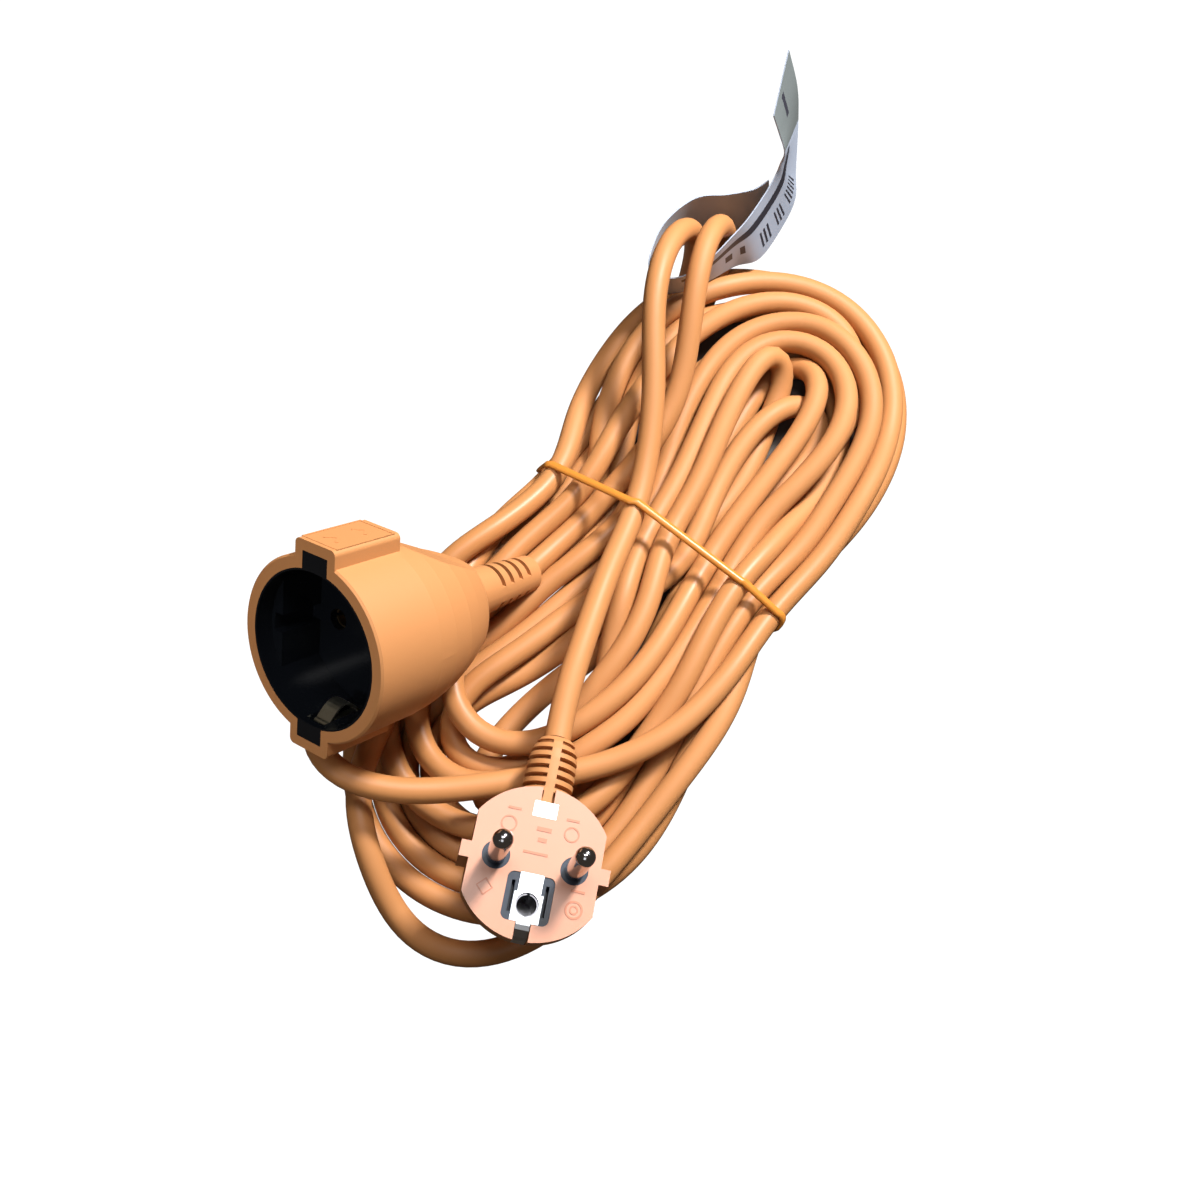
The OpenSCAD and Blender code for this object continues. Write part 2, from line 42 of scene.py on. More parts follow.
cam_data = bpy.data.cameras.new("camera")
cam_data.lens = 39.0
cam_data.sensor_width = 36.0
cam_data.clip_start = 0.01
cam = bpy.data.objects.new("camera", cam_data)
cam.location = (0.0807, -0.1220, 0.3520)
cam.rotation_euler = (math.radians(22.0), 0.0, math.radians(37.0))
bpy.context.scene.collection.objects.link(cam)
bpy.context.scene.camera = cam

# ---------------------------------------------------------------- the places of coupler and plug, in mm


def turned(turn):
    a, b, c = (math.radians(t) for t in turn)
    rz = lambda q: np.array([[math.cos(q), -math.sin(q), 0], [math.sin(q), math.cos(q), 0], [0, 0, 1]])
    ry = np.array([[math.cos(b), 0, math.sin(b)], [0, 1, 0], [-math.sin(b), 0, math.cos(b)]])
    return rz(c) @ ry @ rz(a)


COUPLER = (np.array([-36.6, -79.9, 62.0]), turned((117.5, 51.3, -101.9)))
PLUG = (np.array([33.9, -85.3, 44.0]), turned((-15.3, 9.7, 42.0)))


def at(place, p):
    return place[0] + place[1] @ np.array(p, float)


# ---------------------------------------------------------------- the cord's line, in mm

D = 6.8
STEP = 5.0
FINE_STEP = 2.5
BAND_Y = 13.0
MM_PER_M = 1000

# how firmly each kind of stretch keeps its place while the cord settles: 1 doesn't move
HOLD_LEAD, HOLD_BAND, HOLD_LOOSE = 1.0, 0.6, 0.3
HOLD_CROSSING, HOLD_WAY, HOLD_ARC = 0.25, 0.12, 0.02

COUPLER_END = (0, 0, -78)
PLUG_END = (0, 33, -8)

plug_lead = [at(PLUG, PLUG_END), (12, -46, 34), (6, -30, 31), (-3, -6, 25), (-8.5, 14, 20.6), (-16.5, 31, 25),
    (-25.5, 45, 31), (-34.5, 56, 36), (-41, 65, 40), (-45.5, 75, 42), (-48, 84.5, 40), (-49, 94, 33.5),
    (-48.8, 99.5, 24.5), (-48.4, 100, 15), (-47, 95, 7), (-44, 87, 3.8), (-42, 78, 3.7)]
coupler_lead = [at(COUPLER, COUPLER_END), at(COUPLER, (0, 0, -81)), (-22.2, -12, 8), (-22.4, -3, 6.4),
    (-21.4, 8, 7.4),
    (-19.6, 18, 10.5), (-17.8, 29, 15.5), (-17.6, 39, 18.5), (-19.5, 50, 22.5), (-24.6, 60.5, 29),
    (-30.8, 71, 36),
    (-36, 81, 40.5), (-39.4, 90, 41), (-41.4, 99, 36), (-41.9, 105.5, 27), (-41.8, 107.4, 17),
    (-41, 103.5, 8.5),
    (-39.6, 96, 4.2), (-38, 87, 3.7)]
raised = [(-39, -45, 10), (-41, -58, 12), (-42, -70, 17.5), (-41, -83, 25), (-36, -93, 32), (-28, -98.5, 35),
    (-19.5, -98.5, 35.5), (-11.5, -95, 33.5), (-3.5, -89, 31.5), (4, -81.5, 29.5), (11, -73, 26),
    (18, -64.5, 22),
    (24.5, -56, 18), (31, -45, 14.5), (35.5, -30, 12.5), (37, -13, 10.5)]
loose = [(-36, -22, 9), (-30, -60, 14), (-25, -82, 15), (-22, -92, 20), (-16, -100, 23), (-8, -106, 21.5),
    (2, -112.5, 14), (13, -117, 6.5), (25, -115, 3.8), (34.5, -106.5, 3.7), (40, -96, 3.7), (42.5, -84, 3.8),
    (45, -60, 3.6), (42, -25, 3.5)]

# Where each strand crosses under the band, across and up: L and X run down to the left, R to the right.
slots = {"L1": (-37, 3.4), "L2": (-29.9, 3.4), "L3": (-22.8, 3.4), "L4": (-15.7, 3.4), "L5": (-8.6, 3.4),
    "L9": (-1.5, 3.4), "X2": (5.6, 3.4), "X3": (12.7, 3.4), "R3": (19.8, 3.4), "R2": (26.9, 3.4),
    "R1": (34, 3.4),
    "L6": (-33.5, 9.8), "L7": (-26.4, 10), "R10": (-4, 11), "R9": (3.4, 12), "L10": (10, 9.8),
    "R8": (16.8, 10.5),
    "R4": (23.6, 10.2), "R6": (30.2, 9.8), "R7": (36, 8.5), "L8": (-11.7, 9.8), "R5": (25, 16.5)}

# The bends above the band: first and last slot, then centre, half-width, reach and height, or the way itself.
upper = [("R7", "L3", (-5, 69.5), 41, 47.5, 9.6), ("R1", "L6", (-5, 68.5), 44.6, 48.5, 3.6),
    ("L4", "R2", (-4, 68), 37.5, 42, 3.6), ("R3", "L7", (-5, 69), 31, 42.5, 9.6),
    ("L8", "R5", (-1, 64), 26.5, 31, 3.8),
    ("R6", "L5", [(30.5, 29, 10), (32, 46, 10), (33.5, 62, 10), (32.5, 76, 10), (28, 88, 10),
        (21, 95.5, 10), (10, 103, 10),
        (-2, 105.5, 10), (-12, 101, 10), (-19.5, 93, 10), (-24, 82, 10), (-25, 68, 9), (-23, 50, 7.5),
        (-15, 30, 5)]),
    ("R10", "R4", [(-5, 28, 13), (-8.5, 42, 13.5), (-12.5, 57, 13.5), (-15.8, 70, 13), (-16.5, 82, 13),
        (-10.5, 91.5, 13),
        (-1, 96.5, 13), (10, 95, 13), (19, 88, 13), (25.5, 76, 12.5), (26.5, 62, 12), (25.5, 45, 11),
        (24.5, 30, 10.5)]),
    ("R9", "X2", [(1.4, 32, 15.5), (-3.5, 48, 17), (-7, 64, 17.5), (-9, 79, 16.8), (-8.5, 88.5, 15),
        (-4.2, 89, 10.5),
        (-1, 80, 6.5), (3, 67, 4.2), (7.5, 50, 3.5), (8, 32, 3.5)]),
    ("R8", "L9", [(16.3, 34, 13), (15.2, 48, 13), (14.8, 64, 13), (13, 77, 13.5), (8.5, 87, 13.5),
        (2, 91, 10.5),
        (-4, 88, 6.5), (-5, 77, 4), (-3.5, 60, 3.6), (-3, 36, 3.5)]),
    ("X3", "L10", [(16.5, 38, 3.6), (19.5, 56, 4), (20.5, 70, 5), (17.5, 80, 6), (12, 84, 7), (6.5, 80.5, 8),
        (2.5, 72, 9), (1, 58, 9.5), (2, 46, 9.8), (5.5, 29, 10)])]
# The bends below it.
lower = [("L2", "R2", (3.7, -62), 43.8, 45.3, 3.5), ("R6", "L8", (3.6, -62), 37, 38.4, 3.5),
    ("R5", "L3", [(27, -6, 14.5), (30, -24, 12), (31.5, -44, 10.5), (31, -60, 10), (24.5, -76, 10),
        (12, -86, 10),
        (-4, -90.5, 10), (-18, -87, 10), (-29, -76, 9.8), (-34, -60, 9.5), (-32, -36, 8), (-26, -8, 5)]),
    ("L5", "R3", [(-11, -8, 5), (-15, -30, 7), (-18.5, -50, 8), (-22, -66, 5), (-18, -82, 3.8),
        (-8, -91, 3.5),
        (6, -93.5, 3.5), (20, -89, 3.5), (30, -77, 3.5), (34, -60, 3.5), (31, -35, 3.5), (24, -8, 3.5)]),
    ("R4", "L4", [(26, -4, 10.8), (28, -16, 11.5), (27.5, -30, 12), (24.5, -42, 12.5),
        (20.5, -52, 12.5), (14, -63, 11),
        (6, -72, 10), (-5, -78.5, 9.5), (-17, -77, 9.3), (-27, -67, 9), (-31.5, -52, 8.5),
        (-29, -28, 6), (-21, -6, 4)]),
    ("R8", "L7", [(19, 2, 12), (21.5, -14, 12.8), (21, -28, 13.5), (19, -40, 14), (16.5, -50, 13.5),
        (10, -61, 12),
        (0, -67, 11.5), (-10, -66.5, 11), (-18, -60, 10.5), (-24.5, -48, 10), (-28.5, -30, 8.5),
        (-29.5, -8, 8.5)]),
    ("L9", "R9", [(-4.5, -10, 5), (-9, -28, 6.5), (-12.5, -43, 7), (-17, -56, 6), (-16, -67, 5), (-8, -74, 4),
        (3, -74.5, 4), (12, -66, 4.5), (17, -52, 6), (18.5, -37, 9), (17.8, -21, 12.5), (12, -3, 13.5)]),
    ("X2", "X3", [(2.5, -14, 3.5), (-0.5, -34, 4), (-1.6, -50, 4), (-1.2, -64, 3.6), (3, -76, 3.5),
        (12, -80.5, 3.5),
        (21, -75, 3.5), (24.5, -60, 3.5), (22.5, -38, 3.5), (17.5, -12, 3.5)]),
    ("L10", "R10", [(6.5, 0, 8.5), (1, -16, 6.5), (-6, -32, 5.5), (-13.5, -47, 5), (-23, -62, 3.6),
        (-23, -76, 3.5),
        (-13, -85, 3.5), (1, -87.5, 3.5), (15, -84, 3.5), (25, -73, 3.5), (26.5, -58, 5), (20, -44, 7),
        (13, -32, 9.5),
        (5, -10, 12.5)])]


BEND_START = 20  # from the band to a bend's first and last point
ARC_STEP, ARC_POINTS = 30, 7  # a bend's arc in degrees
LEAN_UP, LEAN_DOWN = 0.42, 0.55  # how much of its slot's place a bend's first point keeps
SLOT_HEIGHT = 0.7  # the same for the height


def slot(name):
    return (slots[name][0], BAND_Y, slots[name][1])


def bend(name_a, name_b, centre, wide, reach, z, up):
    """Points of a bend from slot a to slot b, without the slots themselves."""
    a, b = slot(name_a), slot(name_b)
    side = 1 if up else -1
    keep = LEAN_UP if up else LEAN_DOWN
    edge_a = centre[0] + (-wide if a[0] < b[0] else wide)
    edge_b = centre[0] + (wide if a[0] < b[0] else -wide)

    def shoulder(p, edge):
        return (p[0] * keep + edge * (1 - keep), BAND_Y + side * BEND_START, p[2] * SLOT_HEIGHT + z * 0.3)

    arc = []
    for k in range(ARC_POINTS):
        t = math.radians(ARC_STEP * k)
        x = centre[0] + (edge_a - centre[0]) * math.cos(t)
        arc.append((x, centre[1] + side * reach * math.sin(t), z))
    return [shoulder(a, edge_a), *arc, shoulder(b, edge_b)]


def smooth_line(points, step):
    """A round line through the points, cut into equal steps."""
    p = np.array([2 * np.array(points[0]) - points[1], *points, 2 * np.array(points[-1]) - points[-2]], float)
    dense = []
    for i in range(1, len(p) - 2):
        p0, p1, p2, p3 = p[i - 1 : i + 3]
        a = [0.0]
        for u, v in ((p0, p1), (p1, p2), (p2, p3)):
            a.append(a[-1] + max(1e-6, np.linalg.norm(v - u)) ** 0.5)
        for t in np.linspace(a[1], a[2], 24, endpoint=False):
            a1 = (a[1] - t) / a[1] * p0 + t / a[1] * p1
            a2 = (a[2] - t) / (a[2] - a[1]) * p1 + (t - a[1]) / (a[2] - a[1]) * p2
            a3 = (a[3] - t) / (a[3] - a[2]) * p2 + (t - a[2]) / (a[3] - a[2]) * p3
            b1 = (a[2] - t) / a[2] * a1 + t / a[2] * a2
            b2 = (a[3] - t) / (a[3] - a[1]) * a2 + (t - a[1]) / (a[3] - a[1]) * a3
            dense.append((a[2] - t) / (a[2] - a[1]) * b1 + (t - a[1]) / (a[2] - a[1]) * b2)
    dense.append(p[-2])
    dense = np.array(dense)
    run = np.concatenate([[0], np.cumsum(np.linalg.norm(np.diff(dense, axis=0), axis=1))])
    n = int(round(run[-1] / step))
    want = np.linspace(0, run[-1], n + 1)
    return np.stack([np.interp(want, run, dense[:, k]) for k in range(3)], 1)


route = []  # (point, how firmly it is held)


def add(points, hold):
    route.extend((np.array(p, float), hold) for p in points)


def half_turns(order):
    """Goes through a list of slots, bend by bend: lower, upper, lower ..."""
    for a, b in zip(order[:-1], order[1:]):
        for up, bends in ((True, upper), (False, lower)):
            for one, two, *shape in bends:
                if {a, b} != {one, two}:
                    continue
                if len(shape) > 1:
                    add(bend(a, b, *shape, up), HOLD_ARC)
                else:
                    add(shape[0] if a == one else shape[0][::-1], HOLD_CROSSING if a[0] == "X" else HOLD_WAY)
        if (a, b) == ("R1", "L1"):
            add(loose[::-1], HOLD_LOOSE)
        elif (a, b) == ("R7", "L6"):
            add(raised[::-1], HOLD_LOOSE)
        add([slot(b)], HOLD_BAND)


order = ["L2", "R2", "L4", "R4", "R10", "L10", "X3", "X2", "R9", "L9", "R8", "L7", "R3", "L5", "R6",
    "L8", "R5", "L3", "R7", "L6",
    "R1", "L1"]
add(coupler_lead, HOLD_LEAD)
add([slot(order[0])], HOLD_BAND)
half_turns(order)
add(plug_lead[::-1], HOLD_LEAD)

line = smooth_line([p for p, h in route], STEP)
for _ in range(6):
    line[1:-1] += 0.5 * (0.5 * (line[2:] + line[:-2]) - line[1:-1])
places = np.array([p for p, h in route])
holds = np.array([h for p, h in route])


SINK, PULL_HOME, PUSH, KEEP_STEP, ROUND_OFF = 0.03, 0.25, 1.2, 0.6, 0.05
NEAR, REFRESH, BLOCK, SKIP = 15, 12, 256, 4  # which pairs of steps are looked at, and how often
BAND_RISE, BAND_REACH = 1, 12  # the cord lies this much higher where the band passes under it
TINY = 1e-6


def relax(x, hold, rounds):
    """Pushes the strands apart and lets them settle: each round shortens or lengthens each step to its
    length, rounds off bends, parts what overlaps, and keeps every point over the floor."""
    home = x.copy()
    rest = np.linalg.norm(np.diff(x, axis=0), axis=1).mean()
    n = len(x)
    pairs = None
    for r in range(rounds):
        x[:, 2] -= SINK * (1 - hold)
        x += (home - x) * (hold * PULL_HOME)[:, None]
        if r % REFRESH == 0:
            lo = []
            for s in range(0, n, BLOCK):
                d = np.linalg.norm(x[s : s + BLOCK, None, :] - x[None, :, :], axis=2)
                i, j = np.nonzero(d < NEAR)
                i = i + s
                keep = (j > i + SKIP) & (i < n - 1) & (j < n - 1)
                lo.append(np.stack([i[keep], j[keep]]))
            pairs = np.concatenate(lo, 1)
        for _ in range(2):
            i, j = pairs
            p, q = x[i], x[j]
            u, v = x[i + 1] - p, x[j + 1] - q
            w = p - q
            a, b, c = (u * u).sum(1), (u * v).sum(1), (v * v).sum(1)
            dd, e = (u * w).sum(1), (v * w).sum(1)
            den = np.maximum(a * c - b * b, TINY)
            s = np.clip((b * e - c * dd) / den, 0, 1)
            t = np.clip((b * s + e) / c, 0, 1)
            s = np.clip((b * t - dd) / a, 0, 1)
            gap = w + u * s[:, None] - v * t[:, None]
            dist = np.maximum(np.linalg.norm(gap, axis=1), TINY)
            close = dist < D
            i, j, s, t, gap, dist = i[close], j[close], s[close], t[close], gap[close], dist[close]
            push = gap / dist[:, None] * (0.5 * (D - dist))[:, None]
            move = np.zeros_like(x)
            count = np.full(n, TINY)
            for k, wgt, sign in ((i, 1 - s, 1), (i + 1, s, 1), (j, 1 - t, -1), (j + 1, t, -1)):
                np.add.at(move, k, push * (sign * wgt)[:, None])
                np.add.at(count, k, wgt)
            x += move / np.maximum(count, 1)[:, None] * PUSH * (1 - 0.9 * hold)[:, None]
            # steps keep their length
            seg = np.diff(x, axis=0)
            length = np.linalg.norm(seg, axis=1)
            fix = seg / length[:, None] * (0.5 * (length - rest))[:, None] * KEEP_STEP
            x[:-1] += fix
            x[1:] -= fix
            # bends stay round, and what moves takes its neighbours along
            mid = 0.5 * (x[2:] + x[:-2])
            x[1:-1] += (mid - x[1:-1]) * ROUND_OFF
            for _ in range(2):
                away = x - home
                x[1:-1] += 0.5 * (0.5 * (away[2:] + away[:-2]) - away[1:-1])
            rise = BAND_RISE * np.exp(-(((x[:, 1] - BAND_Y) / BAND_REACH) ** 2))
            x[:, 2] = np.maximum(x[:, 2], D / 2 + rise)
            avoid(x)
    return x


# The two bodies as height and radius along their axes, and their strain reliefs as ends and radius.
BODIES = (
    (COUPLER, ((-62, 7), (-54, 8), (-47, 15.5), (-38, 20), (-28, 23), (0, 24.5), (4, 24.5))),
    (PLUG, ((-25.5, 9), (-20, 14), (-12, 17.5), (0, 18.5))),
)
RELIEFS = (
    (at(PLUG, (0, 12, -8)), at(PLUG, (0, 31, -8)), 6.5),
    (at(COUPLER, (0, 0, -58)), at(COUPLER, (0, 0, -76)), 6),
)


def avoid(x):
    """Keeps the line out of the coupler's and the plug's bodies."""
    for place, profile in BODIES:
        loc = (x - place[0]) @ place[1]
        z = [p[0] for p in profile]
        r = np.interp(loc[:, 2], z, [p[1] for p in profile]) + D / 2
        rad = np.hypot(loc[:, 0], loc[:, 1])
        inside = (loc[:, 2] > z[0]) & (loc[:, 2] < z[-1]) & (rad < r)
        if inside.any():
            k = (r[inside] - rad[inside]) / np.maximum(rad[inside], 1e-3)
            out = np.zeros((inside.sum(), 3))
            out[:, 0] = loc[inside, 0] * k
            out[:, 1] = loc[inside, 1] * k
            x[inside] += (out @ place[1].T) * 0.5
    for a, b, r in RELIEFS:
        t = np.clip((x - a) @ (b - a) / ((b - a) @ (b - a)), 0, 1)
        away = x - a - t[:, None] * (b - a)
        dist = np.linalg.norm(away, axis=1)
        inside = (dist < r + D / 2) & (t < 1)
        x[inside] += away[inside] * ((r + D / 2) / np.maximum(dist[inside], 1e-3) - 1)[:, None] * 0.5


def held(x):
    """How firmly each point is held to its place: as firmly as the nearest point of the route."""
    d = np.linalg.norm(x[:, None, :] - places[None, :, :], axis=2)
    return holds[np.argmin(d, axis=1)]


hold = held(line)
line = relax(line, hold, 500)
line = relax(line, hold * 0.2, 160)
line[0] = at(COUPLER, COUPLER_END)
line[-1] = at(PLUG, PLUG_END)


def curve_object(name, points_mm, r_mm):
    """A round cord. It is written in mm and scaled, so that the curve's bounds are right."""
    data = bpy.data.curves.new(name, "CURVE")
    data.dimensions = "3D"
    data.bevel_depth = r_mm
    data.bevel_resolution = 6
    data.use_fill_caps = True
    s = data.splines.new("POLY")
    s.points.add(len(points_mm) - 1)
    s.points.foreach_set("co", np.c_[np.array(points_mm), np.ones(len(points_mm))].ravel())
    obj = bpy.data.objects.new(name, data)
    obj.scale = [1 / MM_PER_M] * 3
    bpy.context.scene.collection.objects.link(obj)
    s.use_smooth = True
    return obj


# ---------------------------------------------------------------- materials


BUMP_DISTANCE = 0.0002
NOISE_LOW, NOISE_HIGH = 0.35, 0.65


def noise(tree, scale, detail):
    """A noise over the object's own coordinates."""
    tex = tree.nodes.new("ShaderNodeTexNoise")
    tex.inputs["Scale"].default_value = scale
    tex.inputs["Detail"].default_value = detail
    coords = tree.nodes.new("ShaderNodeTexCoord")
    tree.links.new(coords.outputs["Object"], tex.inputs["Vector"])
    return tex.outputs["Fac"]


def material(name, color, rough=0.5, metal=0.0, spec=0.5, bump=0.0, scale=400, vary=0.0, patches=16):
    """bump and scale are a fine grain, vary and patches are how the roughness changes over the surface."""
    m = bpy.data.materials.new(name)
    m.use_nodes = True
    tree = m.node_tree
    shader = tree.nodes["Principled BSDF"]
    shader.inputs["Base Color"].default_value = (*color, 1)
    shader.inputs["Roughness"].default_value = rough
    shader.inputs["Metallic"].default_value = metal
    shader.inputs["Specular IOR Level"].default_value = spec
    if bump:
        grain = tree.nodes.new("ShaderNodeBump")
        grain.inputs["Strength"].default_value = bump
        grain.inputs["Distance"].default_value = BUMP_DISTANCE
        tree.links.new(noise(tree, scale, 3), grain.inputs["Height"])
        tree.links.new(grain.outputs["Normal"], shader.inputs["Normal"])
    if vary:
        span = tree.nodes.new("ShaderNodeMapRange")
        span.inputs["From Min"].default_value = NOISE_LOW
        span.inputs["From Max"].default_value = NOISE_HIGH
        span.inputs["To Min"].default_value = rough - vary
        span.inputs["To Max"].default_value = rough + vary
        tree.links.new(noise(tree, patches, 2), span.inputs["Value"])
        tree.links.new(span.outputs["Result"], shader.inputs["Roughness"])
    return m


mats = {
    "sheath": material("sheath", (0.43, 0.183, 0.062), 0.54, spec=0.3, bump=0.1, scale=0.4, vary=0.16,
        patches=0.016),
    "moulding": material("moulding", (0.45, 0.195, 0.07), 0.55, spec=0.3, bump=0.14),
    # the plug's face: the moulding's plastic made paler, a painted sheen, with a lower roughness for its real
    # gloss
    "face": material("face", (0.465, 0.195, 0.108), 0.36, bump=0.05),
    "marks": material("marks", (0.42, 0.13, 0.055), 0.4),
    "insert": material("insert", (0.004, 0.005, 0.007), 0.2, spec=0.35),
    "carrier": material("carrier", (0.014, 0.022, 0.038), 0.35, spec=0.25),
    "pin": material("pin", (0.45, 0.46, 0.49), 0.12, 1.0),
    "strip": material("strip", (0.44, 0.455, 0.48), 0.3, 1.0),
    # the earth sleeve's metal is a dark grey: painted shade for the inside of its deep bore
    "sleeve": material("sleeve", (0.12, 0.12, 0.13), 0.3, 1.0),
    "brass": material("brass", (0.3, 0.22, 0.12), 0.3, 1.0),
    "spring": material("spring", (0.62, 0.60, 0.48), 0.3, 1.0),
    "brown": material("brown", (0.12, 0.05, 0.02), 0.4),
    "blue": material("blue", (0.03, 0.12, 0.45), 0.4),
    "green": material("green", (0.4, 0.55, 0.04), 0.4),
    "band": material("band", (0.50, 0.185, 0.028), 0.3, spec=0.35),
    "paper": material("paper", (0.32, 0.36, 0.44), 0.45),
    "paper_back": material("paper_back", (0.42, 0.41, 0.43), 0.6),
    "print": material("print", (0.024, 0.024, 0.034), 0.5),
    # the glued tail's twisted back in a dark grey: painted shadow
    "paper_tail_shadow": material("paper_tail_shadow", (0.115, 0.13, 0.13), 0.5),
}

fine = smooth_line(list(line), FINE_STEP)
cord = curve_object("cord", fine, D / 2)


def mesh_object(name, points_mm, faces, slots, index=None, smooth=True):
    data = bpy.data.meshes.new(name)
    data.from_pydata([tuple(float(c) / MM_PER_M for c in p) for p in points_mm], [],
    [tuple(f) for f in faces])
    obj = bpy.data.objects.new(name, data)
    bpy.context.scene.collection.objects.link(obj)
    for s in slots:
        data.materials.append(mats[s])
    if index is not None:
        data.polygons.foreach_set("material_index", index)
    data.polygons.foreach_set("use_smooth", [smooth] * len(data.polygons))
    return obj


# ---------------------------------------------------------------- the band round what crosses its plane


def crossings(y):
    out = []
    for p, q in zip(line[:-1], line[1:]):
        if (p[1] - y) * (q[1] - y) < 0:
            t = (y - p[1]) / (q[1] - p[1])
            out.append((p + (q - p) * t)[[0, 2]])
    return np.array(out)


BAND_STEPS = 160
BAND_LEAN = 1.0
# the band's section: how far out from the cord's centreline, and how far along it
BAND_SECTION = ((D / 2 + 0.1, -1.1), (D / 2 + 0.9, -1.0), (D / 2 + 1.0, 0), (D / 2 + 0.9, 1.0),
(D / 2 + 0.1, 1.1))
FLOOR_GAP = 0.05


def band_object():
    held_pts = crossings(BAND_Y)
    points, faces, n = [], [], BAND_STEPS
    for k in range(n):
        t = 2 * math.pi * k / n
        way = np.array([math.cos(t), math.sin(t)])
        c = held_pts[np.argmax(held_pts @ way)]
        lean = BAND_LEAN * math.sin(2 * t)
        for r, dy in BAND_SECTION:
            p = c + way * r
            points.append((p[0], BAND_Y + dy + lean, max(p[1], FLOOR_GAP)))
    for k in range(n):
        for m in range(5):
            here, there, beside = 5 * k, 5 * ((k + 1) % n), (m + 1) % 5
            faces.append((here + m, here + beside, there + beside, there + m))
    return mesh_object("band", points, faces, ("band",))


band = band_object()
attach(band, "cord")
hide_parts("rubber_band")

# ---------------------------------------------------------------- the paper label

# The strip's lower and upper edge at each station, from the glued tail's end round the leads and back.
low = [(-53.3, 149.3, 54), (-47.8, 148, 44), (-44.4, 146, 34), (-38.4, 138.7, 22), (-34.5, 134, 15),
    (-32.8, 123.7, 11.5),
    (-32.4, 111.6, 10.5), (-36, 103, 13), (-38.6, 91, 16), (-43, 82.6, 16.5), (-49.6, 79.6, 14),
    (-54, 83, 10),
    (-56.6, 94, 9), (-54, 105.8, 8.5), (-46.7, 112.4, 8.5), (-41, 118, 9.5), (-36.4, 123.2, 11)]
high = [(-44.5, 129.2, 50), (-41, 128, 46), (-37.5, 126.5, 42), (-37.6, 125.4, 38), (-37.8, 124, 34),
    (-37.6, 119, 31),
    (-37.2, 109.6, 29), (-37.6, 102, 28), (-39, 88.7, 27), (-43, 80, 26.5), (-50, 77.4, 26.5),
    (-54.4, 82.7, 26.5),
    (-57, 93.8, 28), (-54.4, 105.8, 29), (-46.7, 112.4, 30), (-41.2, 118, 31), (-38.8, 122, 33)]


def stations(edge, per):
    """A round edge through the stations, with per points from each to the next."""
    p = np.array([2 * np.array(edge[0]) - edge[1], *edge, 2 * np.array(edge[-1]) - edge[-2]], float)
    out = []
    for i in range(1, len(p) - 2):
        for t in np.arange(per) / per:
            a, b, c, d = p[i - 1 : i + 3]
            square = (2 * a - 5 * b + 4 * c - d) * t * t
            cube = (3 * b - a - 3 * c + d) * t**3
            out.append(0.5 * (2 * b + (c - a) * t + square + cube))
    out.append(p[-2])
    return np.array(out)


def printed(s, u):
    """Whether the outer side is dark at station s and height u: two stripes, plain bars and two blocks."""
    if 0.25 < s < 1.1 and 0.52 < u < 0.62:
        return True
    if 0.66 < u < 0.80 and 2.2 < s < 8.8:
        return True
    if 0.16 < u < 0.48 and 3.3 < s < 5.9:
        return math.sin(s * 41) + 0.7 * math.sin(s * 67 + 1) > 0.25
    if 0.3 < u < 0.5 and (6.5 < s < 6.75 or 7.1 < s < 7.35):
        return True
    return False


PAPER_HALF = 0.2
TAIL_STATIONS = 2.0
PAPER, PAPER_BACK, PRINT, PAPER_TAIL_SHADOW = range(4)


def label_object():
    per, rows = 12, 40
    a, b = stations(low, per), stations(high, per)
    n = len(a)
    middle = (a + b) / 2
    along = np.gradient(middle, axis=0)
    face = np.cross(along, b - a)
    face /= np.linalg.norm(face, axis=1)[:, None]
    points, faces, index = [], [], []
    for side in (-1, 1):
        for i in range(n):
            for r in range(rows + 1):
                points.append(a[i] + (b[i] - a[i]) * r / rows + face[i] * side * PAPER_HALF)
    start = n * (rows + 1)
    for i in range(n - 1):
        for r in range(rows):
            k = i * (rows + 1) + r
            quad = (k, k + 1, k + rows + 2, k + rows + 1)
            s, u = (i + 0.5) / per, (r + 0.5) / rows
            faces.append(quad)
            # the tail's first stations, where not printed, take the painted shadow colour
            index.append(PRINT if printed(s, u) else PAPER_TAIL_SHADOW if s < TAIL_STATIONS else PAPER)
            faces.append(tuple(start + q for q in quad[::-1]))
            index.append(PAPER_BACK)
    rim = [i * (rows + 1) for i in range(n)] + [(n - 1) * (rows + 1) + r for r in range(1, rows + 1)]
    rim += [i * (rows + 1) + rows for i in range(n - 2, -1, -1)] + list(range(rows - 1, 0, -1))
    for p, q in zip(rim, rim[1:] + rim[:1]):
        faces.append((p, q, start + q, start + p))
        index.append(PAPER)
    papers = ("paper", "paper_back", "print", "paper_tail_shadow")
    return mesh_object("label", points, faces, papers, index, smooth=False)


label = label_object()
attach(label, "cord")
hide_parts("paper_label")

# ---------------------------------------------------------------- plain raised marks on the plug and the lug

MARK_BASE, MARK_TOP = -0.05, 0.14
LUG_TOP, LUG_MID = 27.0, 10.5


# across, up, outer radius, width and, for the square, its number of corners
PLUG_RINGS = ((-8, 8, 2.0, 0.4), (7.3, 8.4, 1.9, 0.4), (11, -9, 2.2, 0.5), (11, -9, 1.1, 0.4),
(-10.6, -7.8, 2.1, 0.4, 4))
# across, up, width and height
PLUG_BARS = ((0.6, 8.2, 3.6, 1.0), (0.6, 5.6, 2.2, 1.0), (-0.4, 2.2, 6.0, 0.6), (11.2, -4.6, 3.4, 0.6),
    (-7.3, 11.9, 3.2, 0.6), (7.0, 11.8, 3.2, 0.6))


